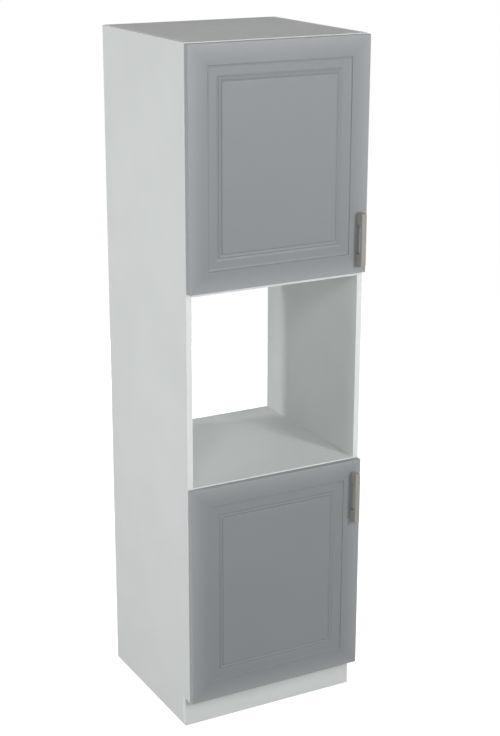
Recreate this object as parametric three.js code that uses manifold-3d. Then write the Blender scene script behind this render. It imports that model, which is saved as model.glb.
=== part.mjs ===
// Tall kitchen housing unit: an open oven niche between two cupboards with routed doors.
// Millimetres, +Z up, front towards -Y, origin under the middle of the bounding box, z = 0 on the floor.
import * as THREE from 'three';
import { mergeVertices } from 'three/addons/utils/BufferGeometryUtils.js';
import Module from 'manifold-3d';

const wasm = await Module();
wasm.setup();
const { Manifold, Mesh: SolidMesh } = wasm;

// Driving dimensions
const unit = { width: 600, height: 2140, depth: 560 };
const board = 18;
const fit = 0.3;
const running = 0.1;
const half = 1 / 2;

const door = { thick: 18, gap: 2, sideReveal: 1.5, corner: 3, edge: 3 };
// Heights: the two cupboards and the niche stand on each other, and the doors follow their boards
const stack = {
  glide: 2, base: 100, ovenShelf: 820, niche: 593,
  lowerDoorLap: 4, lowerDoorReveal: 3, upperDoorReveal: 12, topReveal: 2,
};
const toeKick = { depth: 50 };
const back = { thick: 3, inset: 18, tongue: 6 };
const shelf = { thick: 16, setback: 40, backGap: 6 };
const shelfHeightShare = 0.49;
const pin = { radius: 2.5, buried: 9, proud: 9, collar: 4, collarThick: 1.2, frontInset: 90, backInset: 120 };
const glideFoot = { radius: 8, stem: 2.5, stemLong: 12, inset: 40, facets: 32 };
const bumper = { radius: 4.5, stem: 2.4, stemLong: 6, inset: 24 };

const handle = {
  long: 164, wide: 16, proud: 30, bar: 9, foot: 36, edgeRound: 1, lean: 5,
  outerRound: 7, innerRound: 8, fromSide: 26.5, upperFromBottom: 24, lowerFromTop: 38,
};
const screw = { radius: 2, intoFoot: 12, head: 4.2, headThick: 2.6, hole: 2.5 };

// Routed panel: a flat frame, a slope down to a ledge, a double groove, and the raised field
const routing = {
  frame: 61, slope: 8.5, ledgeDeep: 3.8, ledge: 20.5, bead: 23, beadDeep: 5.8,
};
// Shares of the slope's width and the ledge's depth
const slopeShares = [[0, 0], [0.12, 0.24], [0.35, 0.6], [0.65, 0.9], [1, 1]];
// Shares of the bead's width and depth, from the ledge to the field
const beadShares = [
  [0, 0.724], [0.109, 0.914], [0.217, 1], [0.326, 0.862], [0.413, 0.672], [0.478, 0.655],
  [0.543, 0.793], [0.63, 0.931], [0.739, 0.724], [0.87, 0.5], [1, 0.448],
];
const routedRings = [
  ...slopeShares.map(([across, down]) => [routing.frame + across * routing.slope, down * routing.ledgeDeep]),
  ...beadShares.map(([across, down]) => [
    routing.frame + routing.slope + routing.ledge + across * routing.bead, down * routing.beadDeep,
  ]),
];

// Concealed hinge: the pin and the link's head are placed from the middle of the cup's mouth
const hinge = {
  fromDoorEnd: 100,
  cupRadius: 17.5, cupInset: 22.5, cupDeep: 14.3, cupFloor: 1.2,
  hollowX: 14.8, hollowZ: 7.2,
  flangeThick: 0.9, flangeLeft: 8, flangeRight: 16, flangeHigh: 26,
  pinAcross: 12.6, pinDeep: 10.2, headAcross: 7.5, headDeep: 7.9,
  pinRadius: 0.9, eye: 1.8, head: 1.6, shank: 0.9, linkHalf: 4, cheek: 1.2,
  armHalf: 7, armFront: 4, armShoulder: 24, armRear: 66, armNose: 8,
  plateThick: 4, plateStart: 22, plateEnd: 72, plateHigh: 9,
  wingStart: 30, wingEnd: 44, wingHigh: 26, wingThick: 2.4,
};

// Placements worked out from the dimensions above
const overall = unit.depth + door.gap + door.thick + handle.proud;
const backY = overall * half;
const frontY = backY - unit.depth;
const doorBackY = frontY - door.gap;
const doorFrontY = doorBackY - door.thick;
const leftX = -unit.width * half;
const rightX = unit.width * half;
const innerLeft = leftX + board;
const innerRight = rightX - board;
const topUnder = unit.height - board;
const baseTop = stack.base + board;
const ovenShelfUnder = stack.ovenShelf - board;
const nicheCeiling = stack.ovenShelf + stack.niche;
const upperFloorTop = nicheCeiling + board;
const doorLeft = leftX + door.sideReveal;
const doorRight = rightX - door.sideReveal;
const backPanelRear = backY - back.inset;
const backPanelFront = backPanelRear - back.thick;
const quarter = Math.PI / 2;

// Solids

function solidFrom(geometry) {
  const bare = new THREE.BufferGeometry();
  const source = geometry.index ? geometry : mergeVertices(geometry, 1e-4);
  bare.setAttribute('position', source.attributes.position.clone());
  bare.setIndex(source.index.clone());
  const merged = mergeVertices(bare, 1e-4);
  const mesh = new SolidMesh({
    numProp: 3,
    vertProperties: new Float32Array(merged.attributes.position.array),
    triVerts: new Uint32Array(merged.index.array),
  });
  mesh.merge();
  return new Manifold(mesh);
}

function geometryFrom(solid) {
  const mesh = solid.getMesh();
  const count = mesh.vertProperties.length / mesh.numProp;
  const positions = new Float32Array(count * 3);
  for (let i = 0; i < count; i += 1) {
    for (let j = 0; j < 3; j += 1) positions[i * 3 + j] = mesh.vertProperties[i * mesh.numProp + j];
  }
  const geometry = new THREE.BufferGeometry();
  geometry.setAttribute('position', new THREE.BufferAttribute(positions, 3));
  geometry.setIndex(new THREE.BufferAttribute(new Uint32Array(mesh.triVerts), 1));
  const flat = geometry.toNonIndexed();
  flat.computeVertexNormals();
  return flat;
}

function block(x0, x1, y0, y1, z0, z1) {
  const geometry = new THREE.BoxGeometry(x1 - x0, y1 - y0, z1 - z0);
  geometry.translate((x0 + x1) * half, (y0 + y1) * half, (z0 + z1) * half);
  return solidFrom(geometry);
}

function rodX(radius, x0, x1, y, z, facets = 28) {
  const geometry = new THREE.CylinderGeometry(radius, radius, x1 - x0, facets);
  geometry.rotateZ(quarter);
  geometry.translate((x0 + x1) * half, y, z);
  return solidFrom(geometry);
}

function rodY(radius, y0, y1, x, z, facets = 28) {
  const geometry = new THREE.CylinderGeometry(radius, radius, y1 - y0, facets);
  geometry.translate(x, (y0 + y1) * half, z);
  return solidFrom(geometry);
}

function rodZ(radius, z0, z1, x, y, facets = 28) {
  const geometry = new THREE.CylinderGeometry(radius, radius, z1 - z0, facets);
  geometry.rotateX(quarter);
  geometry.translate(x, y, (z0 + z1) * half);
  return solidFrom(geometry);
}

function plateZ(outline, z0, z1) {
  const shape = new THREE.Shape(outline.map(([x, y]) => new THREE.Vector2(x, y)));
  const geometry = new THREE.ExtrudeGeometry(shape, { depth: z1 - z0, bevelEnabled: false });
  geometry.translate(0, 0, z0);
  return solidFrom(geometry);
}

function hullOutline(discs, facets = 20) {
  const points = [];
  for (const [x, y, radius] of discs) {
    for (let i = 0; i < facets; i += 1) {
      const angle = (i / facets) * 2 * Math.PI;
      points.push([x + radius * Math.cos(angle), y + radius * Math.sin(angle)]);
    }
  }
  points.sort((a, b) => a[0] - b[0] || a[1] - b[1]);
  const turn = (o, a, b) => (a[0] - o[0]) * (b[1] - o[1]) - (a[1] - o[1]) * (b[0] - o[0]);
  const chain = (list) => {
    const line = [];
    for (const point of list) {
      while (line.length > 1 && turn(line[line.length - 2], line[line.length - 1], point) <= 1e-6) line.pop();
      line.push(point);
    }
    line.pop();
    return line;
  };
  return [...chain(points), ...chain([...points].reverse())];
}

// Boards

const boardLeft = innerLeft + fit;
const boardRight = innerRight - fit;

function backGroove(side, z0, z1) {
  const reach = back.tongue;
  const x0 = side < 0 ? innerLeft - reach : innerRight - fit;
  const x1 = side < 0 ? innerLeft + fit : innerRight + reach;
  return block(x0, x1, backPanelFront - fit, backPanelRear + fit, z0, z1);
}

function crossBoard(z0, grooveUp, grooveDown) {
  let solid = block(boardLeft, boardRight, frontY, backY, z0, z0 + board);
  const grooveFront = backPanelFront - fit;
  const grooveRear = backPanelRear + fit;
  if (grooveUp) {
    solid = solid.subtract(block(leftX, rightX, grooveFront, grooveRear, z0 + board - back.tongue, z0 + 2 * board));
  }
  if (grooveDown) {
    solid = solid.subtract(block(leftX, rightX, grooveFront, grooveRear, z0 - board, z0 + back.tongue));
  }
  return solid;
}

function cupboard(floor, ceiling) {
  return { floor, ceiling, shelf: floor + shelfHeightShare * (ceiling - floor) };
}

const cupboards = { lower: cupboard(baseTop, ovenShelfUnder), upper: cupboard(upperFloorTop, topUnder) };
const pinRows = [frontY + pin.frontInset, backPanelFront - pin.backInset];

function sidePanel(side) {
  const x0 = side < 0 ? leftX : innerRight;
  const x1 = x0 + board;
  let solid = block(x0, x1, frontY, backY, stack.glide, unit.height);
  solid = solid.subtract(block(x0 - board, x1 + board, frontY - board, frontY + toeKick.depth, -board, stack.base));
  for (const room of Object.values(cupboards)) {
    solid = solid.subtract(backGroove(side, room.floor - back.tongue, room.ceiling + back.tongue));
    for (const y of pinRows) {
      const z = room.shelf - pin.radius;
      const inner = side < 0 ? innerLeft : innerRight;
      const deep = pin.buried + fit;
      const start = side < 0 ? inner - deep : inner - fit;
      const end = side < 0 ? inner + fit : inner + deep;
      solid = solid.subtract(rodX(pin.radius + fit, start, end, y, z, 16));
    }
  }
  for (const y of glideRows) {
    const x = (x0 + x1) * half;
    solid = solid.subtract(rodZ(glideFoot.stem + fit, -board, stack.glide + glideFoot.stemLong + fit, x, y));
  }
  return solid;
}

const glideRows = [frontY + toeKick.depth + glideFoot.inset, backY - glideFoot.inset];

function floorGlide(side, y) {
  const x = side * (rightX - board * half);
  return rodZ(glideFoot.radius, 0, stack.glide - fit, x, y, glideFoot.facets)
    .add(rodZ(glideFoot.stem, fit, stack.glide + glideFoot.stemLong, x, y));
}

function backPanel(room) {
  const deep = back.tongue - fit;
  return block(innerLeft - deep, innerRight + deep, backPanelFront, backPanelRear, room.floor - deep, room.ceiling + deep);
}

function looseShelf(room) {
  return block(
    innerLeft + fit, innerRight - fit,
    frontY + shelf.setback, backPanelFront - shelf.backGap,
    room.shelf + fit, room.shelf + fit + shelf.thick,
  );
}

function shelfPin(side, room, y) {
  const z = room.shelf - pin.radius;
  const inner = side < 0 ? innerLeft : innerRight;
  const away = -side;
  const from = inner - away * pin.buried;
  const to = inner + away * pin.proud;
  const collarFrom = inner + away * fit;
  const collarTo = collarFrom + away * pin.collarThick;
  const shaft = rodX(pin.radius, Math.min(from, to), Math.max(from, to), y, z, 16);
  const collar = rodX(pin.collar, Math.min(collarFrom, collarTo), Math.max(collarFrom, collarTo), y, z, 16);
  const above = block(leftX, rightX, y - board, y + board, room.shelf, room.shelf + board);
  return shaft.add(collar).subtract(above);
}

// Doors

function routedPanel(z0, z1) {
  const { corner, edge, thick } = door;
  const turns = [0, 30, 60, 90].map((degrees) => (degrees * Math.PI) / 180);
  const roundOver = turns.map((a) => [edge * (1 - Math.cos(a)), edge * (1 - Math.sin(a))]);
  const profile = [[0, thick], ...roundOver, ...routedRings];
  const positions = [];
  const faces = [];
  const steps = 4;
  const ringSize = 4 * steps;
  const x1 = doorRight;
  for (const [inset, deep] of profile) {
    const radius = Math.max(corner - inset, corner / 5);
    const centres = [
      [doorLeft + inset + radius, z0 + inset + radius, 2],
      [x1 - inset - radius, z0 + inset + radius, 3],
      [x1 - inset - radius, z1 - inset - radius, 0],
      [doorLeft + inset + radius, z1 - inset - radius, 1],
    ];
    for (const [x, z, start] of centres) {
      for (let i = 0; i < steps; i += 1) {
        const angle = start * quarter + (i / (steps - 1)) * quarter;
        positions.push(x + radius * Math.cos(angle), doorFrontY + deep, z + radius * Math.sin(angle));
      }
    }
  }
  for (let ring = 0; ring + 1 < profile.length; ring += 1) {
    for (let i = 0; i < ringSize; i += 1) {
      const a = ring * ringSize + i;
      const b = ring * ringSize + ((i + 1) % ringSize);
      faces.push(a, b, b + ringSize, a, b + ringSize, a + ringSize);
    }
  }
  const last = (profile.length - 1) * ringSize;
  for (let i = 1; i + 1 < ringSize; i += 1) {
    faces.push(0, i + 1, i);
    faces.push(last, last + i, last + i + 1);
  }
  const geometry = new THREE.BufferGeometry();
  geometry.setAttribute('position', new THREE.BufferAttribute(new Float32Array(positions), 3));
  geometry.setIndex(faces);
  return solidFrom(geometry);
}

const upperDoorBottom = nicheCeiling + stack.upperDoorReveal;
const lowerDoorTop = stack.ovenShelf - stack.lowerDoorReveal;
const doors = {
  upper: {
    bottom: upperDoorBottom,
    top: unit.height - stack.topReveal,
    handleBottom: upperDoorBottom + handle.upperFromBottom,
  },
  lower: {
    bottom: stack.base + stack.lowerDoorLap,
    top: lowerDoorTop,
    handleBottom: lowerDoorTop - handle.lowerFromTop - handle.long,
  },
};
const handleX = doorRight - handle.fromSide;
const bumperX = rightX - board * half;

function hingeHeights(leaf) {
  return [leaf.bottom + hinge.fromDoorEnd, leaf.top - hinge.fromDoorEnd];
}

function screwHeights(leaf) {
  return [leaf.handleBottom + handle.foot * half, leaf.handleBottom + handle.long - handle.foot * half];
}

function bumperHeights(leaf) {
  return [leaf.bottom + bumper.inset, leaf.top - bumper.inset];
}

function cupboardDoor(leaf) {
  let solid = routedPanel(leaf.bottom, leaf.top);
  for (const z of hingeHeights(leaf)) {
    solid = solid.subtract(rodY(
      hinge.cupRadius + fit, doorBackY - hinge.cupDeep - fit, doorBackY + board, cupX, z, 48,
    ));
  }
  for (const z of screwHeights(leaf)) {
    solid = solid.subtract(rodY(screw.hole, doorFrontY - board, doorBackY + board, handleX, z));
  }
  for (const z of bumperHeights(leaf)) {
    solid = solid.subtract(rodY(bumper.stem + fit, doorBackY - bumper.stemLong - fit, doorBackY + board, bumperX, z));
  }
  return solid;
}

function doorBumper(z) {
  return rodY(bumper.radius, doorBackY + fit, frontY - fit, bumperX, z)
    .add(rodY(bumper.stem, doorBackY - bumper.stemLong, frontY - 2 * fit, bumperX, z));
}

function bowHandle(leaf) {
  const bottom = leaf.handleBottom;
  const top = bottom + handle.long;
  const outer = handle.outerRound;
  const inner = handle.innerRound;
  const foot = handle.foot;
  const lean = handle.lean;
  // outline in (z, distance from the door's face), the feet standing on the door
  const face = fit;
  const underBar = handle.proud - handle.bar;
  const shape = new THREE.Shape();
  shape.moveTo(bottom, face);
  shape.lineTo(bottom, handle.proud - outer);
  shape.absarc(bottom + outer, handle.proud - outer, outer, Math.PI, quarter, true);
  shape.lineTo(top - outer, handle.proud);
  shape.absarc(top - outer, handle.proud - outer, outer, quarter, 0, true);
  shape.lineTo(top, face);
  shape.lineTo(top - foot, face);
  shape.quadraticCurveTo(top - foot, underBar, top - foot - inner - lean, underBar);
  shape.lineTo(bottom + foot + inner + lean, underBar);
  shape.quadraticCurveTo(bottom + foot, underBar, bottom + foot, face);
  shape.closePath();
  const round = handle.edgeRound;
  const geometry = new THREE.ExtrudeGeometry(shape, {
    depth: handle.wide - 2 * round, bevelEnabled: true, bevelThickness: round, bevelSize: round,
    bevelOffset: -round, bevelSegments: 3, curveSegments: 10,
  });
  // shape x is height, shape y stands out of the door, the depth runs across the door
  const turn = new THREE.Matrix4().set(
    0, 0, 1, handleX - handle.wide * half + round,
    0, -1, 0, doorFrontY,
    1, 0, 0, 0,
    0, 0, 0, 1,
  );
  geometry.applyMatrix4(turn);
  let solid = solidFrom(geometry);
  for (const z of screwHeights(leaf)) {
    solid = solid.subtract(rodY(
      screw.radius + fit, doorFrontY - screw.intoFoot - fit, doorFrontY + board, handleX, z,
    ));
  }
  return solid;
}

function handleScrew(z) {
  return rodY(screw.radius, doorFrontY - screw.intoFoot, doorBackY + fit + running, handleX, z)
    .add(rodY(screw.head, doorBackY + fit, doorBackY + fit + screw.headThick, handleX, z));
}

// Hinges

const cupX = doorLeft + hinge.cupInset;
const armPin = [cupX + hinge.pinAcross, doorBackY - hinge.pinDeep];
const linkHead = [cupX - hinge.headAcross, doorBackY - hinge.headDeep];
const cheekInner = hinge.linkHalf + fit;
const cheekOuter = cheekInner + hinge.cheek;

function hingeCup(z) {
  const floorY = doorBackY - hinge.cupDeep;
  const flangeY = doorBackY + fit;
  const flange = block(
    cupX - hinge.flangeLeft, cupX + hinge.flangeRight, flangeY, flangeY + hinge.flangeThick,
    z - hinge.flangeHigh, z + hinge.flangeHigh,
  );
  const cup = rodY(hinge.cupRadius, floorY, flangeY + hinge.flangeThick, cupX, z, 48);
  return cup.add(flange).subtract(block(
    cupX - hinge.hollowX, cupX + hinge.hollowX, floorY + hinge.cupFloor, flangeY + board,
    z - hinge.hollowZ, z + hinge.hollowZ,
  ));
}

// The link turns on the arm's pin, and its rolled head stays in the hollow of the cup
function hingeLink(z) {
  const low = z - hinge.linkHalf;
  const high = z + hinge.linkHalf;
  return plateZ(hullOutline([[...armPin, hinge.shank], [...linkHead, hinge.shank]]), low, high)
    .add(rodZ(hinge.eye, low, high, ...armPin, 24))
    .add(rodZ(hinge.head, low, high, ...linkHead, 24))
    .subtract(rodZ(hinge.pinRadius + running, z - board, z + board, ...armPin, 24));
}

function hingeArm(z) {
  const plateTop = innerLeft + fit + hinge.plateThick + fit;
  const armTop = armPin[0] + hinge.eye;
  const bar = [
    [armTop, frontY + hinge.armFront], [armTop, frontY + hinge.armRear], [plateTop, frontY + hinge.armRear],
    [plateTop, frontY + hinge.armShoulder], [armTop - hinge.armNose, frontY + hinge.armFront],
  ];
  const root = [armPin[0], frontY + hinge.armFront + hinge.eye];
  const cheek = hullOutline([[...armPin, hinge.eye], [...root, hinge.eye]]);
  return plateZ(bar, z - hinge.armHalf, z + hinge.armHalf)
    .add(plateZ(cheek, z + cheekInner, z + cheekOuter))
    .add(plateZ(cheek, z - cheekOuter, z - cheekInner))
    .add(rodZ(hinge.pinRadius, z - cheekOuter + fit, z + cheekOuter - fit, ...armPin, 24));
}

function mountingPlate(z) {
  const x0 = innerLeft + fit;
  const rail = block(
    x0, x0 + hinge.plateThick, frontY + hinge.plateStart, frontY + hinge.plateEnd,
    z - hinge.plateHigh, z + hinge.plateHigh,
  );
  const wings = block(
    x0, x0 + hinge.wingThick, frontY + hinge.wingStart, frontY + hinge.wingEnd,
    z - hinge.wingHigh, z + hinge.wingHigh,
  );
  return rail.add(wings);
}

// Materials

const paint = {
  board_white: { color: 0xe9ebe9, roughness: 0.5, metalness: 0 },
  back_white: { color: 0xe0e1df, roughness: 0.7, metalness: 0 },
  door_grey: { color: 0x9a9ea0, roughness: 0.45, metalness: 0 },
  nickel: { color: 0xa8a398, roughness: 0.35, metalness: 1 },
  steel: { color: 0xb9bcbe, roughness: 0.3, metalness: 1 },
  plastic_grey: { color: 0x8a8c8e, roughness: 0.6, metalness: 0 },
  bumper_clear: { color: 0xd8dadb, roughness: 0.4, metalness: 0 },
};
const materials = Object.fromEntries(
  Object.entries(paint).map(([name, values]) => [name, new THREE.MeshStandardMaterial({ name, ...values })]),
);

const unitGroup = new THREE.Group();
unitGroup.name = 'oven_housing_unit';

function place(name, solid, slot) {
  const mesh = new THREE.Mesh(geometryFrom(solid), materials[slot]);
  mesh.name = name;
  unitGroup.add(mesh);
}

// Carcase
place('left_side_panel', sidePanel(-1), 'board_white');
place('right_side_panel', sidePanel(1), 'board_white');
place('top_panel', crossBoard(topUnder, false, true), 'board_white');
place('upper_cupboard_floor', crossBoard(nicheCeiling, true, false), 'board_white');
place('oven_shelf', crossBoard(ovenShelfUnder, false, true), 'board_white');
place('base_panel', crossBoard(stack.base, true, false), 'board_white');
place('upper_back_panel', backPanel(cupboards.upper), 'back_white');
place('lower_back_panel', backPanel(cupboards.lower), 'back_white');
place('upper_shelf', looseShelf(cupboards.upper), 'board_white');
place('lower_shelf', looseShelf(cupboards.lower), 'board_white');
const plinthFront = frontY + toeKick.depth - board;
place('plinth_board', block(
  leftX, rightX, plinthFront, plinthFront + board - fit, stack.glide, stack.base - fit,
), 'board_white');

// Doors, handles and hinges
for (const [which, leaf] of Object.entries(doors)) {
  place(`${which}_door`, cupboardDoor(leaf), 'door_grey');
  place(`${which}_handle`, bowHandle(leaf), 'nickel');
  screwHeights(leaf).forEach((z, i) => {
    place(`${which}_handle_screw_${i ? 'top' : 'bottom'}`, handleScrew(z), 'steel');
  });
  bumperHeights(leaf).forEach((z, i) => {
    place(`${which}_door_bumper_${i ? 'top' : 'bottom'}`, doorBumper(z), 'bumper_clear');
  });
  hingeHeights(leaf).forEach((z, i) => {
    const end = i ? 'top' : 'bottom';
    place(`${which}_hinge_cup_${end}`, hingeCup(z), 'steel');
    place(`${which}_hinge_arm_${end}`, hingeArm(z), 'steel');
    place(`${which}_hinge_plate_${end}`, mountingPlate(z), 'steel');
    place(`${which}_hinge_link_${end}`, hingeLink(z), 'steel');
  });
}

// Shelf pins and floor glides
for (const [which, room] of Object.entries(cupboards)) {
  pinRows.forEach((y, i) => {
    for (const side of [-1, 1]) {
      place(`${which}_shelf_pin_${i ? 'back' : 'front'}_${side < 0 ? 'left' : 'right'}`, shelfPin(side, room, y), 'steel');
    }
  });
}
glideRows.forEach((y, i) => {
  for (const side of [-1, 1]) {
    place(`floor_glide_${i ? 'back' : 'front'}_${side < 0 ? 'left' : 'right'}`, floorGlide(side, y), 'plastic_grey');
  }
});

export default unitGroup;
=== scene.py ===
from math import cos, pi, radians, sin

import bmesh
import bpy
from mathutils import Matrix, Vector


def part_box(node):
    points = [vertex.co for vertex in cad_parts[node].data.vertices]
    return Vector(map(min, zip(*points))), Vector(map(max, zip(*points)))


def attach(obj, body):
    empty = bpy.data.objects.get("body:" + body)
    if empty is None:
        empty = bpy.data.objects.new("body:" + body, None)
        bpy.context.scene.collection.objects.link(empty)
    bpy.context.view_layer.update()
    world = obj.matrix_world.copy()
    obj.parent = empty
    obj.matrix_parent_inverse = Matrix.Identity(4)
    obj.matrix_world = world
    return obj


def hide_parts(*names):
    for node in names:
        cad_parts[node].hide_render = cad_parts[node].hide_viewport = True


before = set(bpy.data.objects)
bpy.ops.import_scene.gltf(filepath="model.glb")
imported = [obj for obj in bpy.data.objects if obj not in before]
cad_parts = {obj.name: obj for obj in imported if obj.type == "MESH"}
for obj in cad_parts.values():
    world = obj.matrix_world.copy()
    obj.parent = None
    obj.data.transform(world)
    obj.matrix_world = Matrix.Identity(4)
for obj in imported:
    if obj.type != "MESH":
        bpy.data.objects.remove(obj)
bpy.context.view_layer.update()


# Side panels: 18 mm chipboard faced on both sides with white melamine, sawn to the full height with
# a notch for the toe kick. A thin plastic band is glued on every edge that shows, and the rear edge
# and the foot stay raw. The inner face is grooved for the back panels and bored in rows for shelf pins.

BOARD = 0.018
BAND_ROUND = 0.0006
TOE_KICK = 0.05
GROOVE_DEEP = 0.006
GROOVE_GAP = 0.0003
PIN_HOLE = 0.0026
PIN_HOLE_DEEP = 0.0095
PIN_COLLAR_RADIUS = 0.004
HOLE_LIP = 0.0003
HOLE_PITCH = 0.032
HOLES_EACH_WAY = 5
MELAMINE, BAND, RAW = 0, 1, 2

# How nearly a face looks one way, how near a point lies to it, and how small a speck of a face is
PARALLEL = 0.9999
FACING = 0.9
ON_FACE = 0.00001
BY_FACE = 0.0002
SPECK_AREA = 1e-9


def start_finish(name, colour, roughness, metallic=0.0, gloss=0.5):
    """A new material, with its nodes, its shader and the place of each point on the piece."""
    material = bpy.data.materials.new(name)
    material.use_nodes = True
    tree = material.node_tree
    shader = tree.nodes["Principled BSDF"]
    shader.inputs["Base Color"].default_value = (*colour, 1)
    shader.inputs["Roughness"].default_value = roughness
    shader.inputs["Metallic"].default_value = metallic
    shader.inputs["Specular IOR Level"].default_value = gloss
    place = tree.nodes.new("ShaderNodeTexCoord").outputs["Object"]
    return material, tree, shader, place


def speckle(tree, place, scale, stretch=(1, 1, 1), detail=2.0):
    """Soft irregular spots, drawn out where a stretch is under 1."""
    mapping = tree.nodes.new("ShaderNodeMapping")
    mapping.inputs["Scale"].default_value = stretch
    noise = tree.nodes.new("ShaderNodeTexNoise")
    noise.inputs["Scale"].default_value = scale
    noise.inputs["Detail"].default_value = detail
    tree.links.new(place, mapping.inputs["Vector"])
    tree.links.new(mapping.outputs["Vector"], noise.inputs["Vector"])
    return noise.outputs["Fac"]


def tint(tree, shader, pattern, dark, light, low=0.35, high=0.65):
    """Vary the colour a little with a pattern."""
    ramp = tree.nodes.new("ShaderNodeValToRGB")
    ramp.color_ramp.elements[0].position = low
    ramp.color_ramp.elements[0].color = (*dark, 1)
    ramp.color_ramp.elements[1].position = high
    ramp.color_ramp.elements[1].color = (*light, 1)
    tree.links.new(pattern, ramp.inputs["Fac"])
    tree.links.new(ramp.outputs["Color"], shader.inputs["Base Color"])
    return ramp.outputs["Color"]


def roughen(tree, shader, pattern, smooth, rough, low=0.3, high=0.7):
    """Vary the roughness a little with a pattern."""
    spread = tree.nodes.new("ShaderNodeMapRange")
    spread.inputs["From Min"].default_value = low
    spread.inputs["From Max"].default_value = high
    spread.inputs["To Min"].default_value = smooth
    spread.inputs["To Max"].default_value = rough
    tree.links.new(pattern, spread.inputs["Value"])
    tree.links.new(spread.outputs["Result"], shader.inputs["Roughness"])


def emboss(tree, shader, pattern, height, strength):
    """Raise the surface by a hair where a pattern is light."""
    bump = tree.nodes.new("ShaderNodeBump")
    bump.inputs["Distance"].default_value = height
    bump.inputs["Strength"].default_value = strength
    tree.links.new(pattern, bump.inputs["Height"])
    tree.links.new(bump.outputs["Normal"], shader.inputs["Normal"])


def melamine_finish():
    """Cloudy by a shade, with the fine grain of a printed press plate."""
    material, tree, shader, place = start_finish("white_melamine", (0.80, 0.828, 0.821), 0.5, gloss=0.3)
    clouds = speckle(tree, place, scale=4.0)
    tint(tree, shader, clouds, dark=(0.787, 0.815, 0.808), light=(0.811, 0.839, 0.832))
    roughen(tree, shader, speckle(tree, place, scale=22.0), smooth=0.44, rough=0.56)
    emboss(tree, shader, speckle(tree, place, scale=1300.0), height=0.00004, strength=0.35)
    return material


def band_finish():
    """A shade whiter than the melamine, with faint lines along the strip."""
    material, tree, shader, place = start_finish("white_edge_band", (0.88, 0.905, 0.897), 0.42, gloss=0.3)
    clouds = speckle(tree, place, scale=30.0)
    tint(tree, shader, clouds, dark=(0.865, 0.89, 0.882), light=(0.89, 0.915, 0.907))
    lines = speckle(tree, place, scale=500.0, stretch=(1, 1, 0.08))
    emboss(tree, shader, lines, height=0.00003, strength=0.3)
    return material


def chipboard_finish():
    """Sawn chips, each of its own brown and standing at its own height."""
    material, tree, shader, place = start_finish("raw_chipboard", (0.46, 0.34, 0.21), 0.85, gloss=0.2)
    chips = tree.nodes.new("ShaderNodeTexVoronoi")
    chips.inputs["Scale"].default_value = 420.0
    tree.links.new(place, chips.inputs["Vector"])
    parts = tree.nodes.new("ShaderNodeSeparateColor")
    tree.links.new(chips.outputs["Color"], parts.inputs["Color"])
    brown = parts.outputs["Red"]
    tint(tree, shader, brown, dark=(0.33, 0.225, 0.13), light=(0.60, 0.47, 0.31), low=0.0, high=1.0)
    emboss(tree, shader, parts.outputs["Green"], height=0.0003, strength=0.8)
    return material


white_melamine = melamine_finish()
board_finishes = (white_melamine, band_finish(), chipboard_finish())


def verts_in(parts):
    """The vertices among the parts that an operator made."""
    return [part for part in parts if isinstance(part, bmesh.types.BMVert)]


def push_out(corners, along):
    """A body pushed out from its flat outline."""
    bm = bmesh.new()
    outline = bm.faces.new([bm.verts.new(corner) for corner in corners])
    grown = bmesh.ops.extrude_face_region(bm, geom=[outline])["geom"]
    bmesh.ops.translate(bm, vec=along, verts=verts_in(grown))
    bmesh.ops.recalc_face_normals(bm, faces=bm.faces)
    return bm


def ease(bm, edges, radius, segments=2):
    """Round these edges off."""
    rounded = bmesh.ops.bevel(
        bm, geom=edges, offset=radius, offset_type="OFFSET", segments=segments, profile=0.5,
        affect="EDGES", material=-1, clamp_overlap=True,
    )
    for face in rounded["faces"]:
        face.smooth = True


def face_at(bm, point, outward):
    """The flat face, looking outward, that this point lies on."""
    bm.normal_update()
    for face in bm.faces:
        off_face = abs((face.verts[0].co - point).dot(outward))
        if face.normal.dot(outward) > PARALLEL and off_face < ON_FACE:
            if bmesh.geometry.intersect_face_point(face, point):
                return face
    raise ValueError(f"no face looks along {outward[:]} at {point[:]}")


def ways_across(outward):
    """The two axes that lie in a face that looks outward."""
    axes = [Vector(axis) for axis in ((1, 0, 0), (0, 1, 0), (0, 0, 1))]
    return [axis for axis in axes if abs(outward.dot(axis)) < FACING]


def mark_out(bm, centre, outward, reach_a, reach_b, inside=None):
    """Score four lines round a centre into the flat face at a point inside, and give what they hold."""
    if inside is None:
        inside = centre
    way_a, way_b = ways_across(outward)
    for way, reach in ((way_a, reach_a), (-way_a, reach_a), (way_b, reach_b), (-way_b, reach_b)):
        face = face_at(bm, inside, outward)
        bmesh.ops.bisect_plane(
            bm, geom=[face] + face.edges[:] + face.verts[:], plane_co=centre + way * reach, plane_no=way,
        )
    return face_at(bm, inside, outward)


def sink(bm, face, deep, finish=None):
    """Push a flat face in by a depth, with walls round it."""
    inward = -face.normal.copy()
    floor = bmesh.ops.extrude_discrete_faces(bm, faces=[face])["faces"][0]
    bmesh.ops.translate(bm, vec=inward * deep, verts=floor.verts)
    if finish is not None:
        for part in [floor] + [wall for edge in floor.edges for wall in edge.link_faces]:
            part.material_index = finish
    return floor


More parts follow.
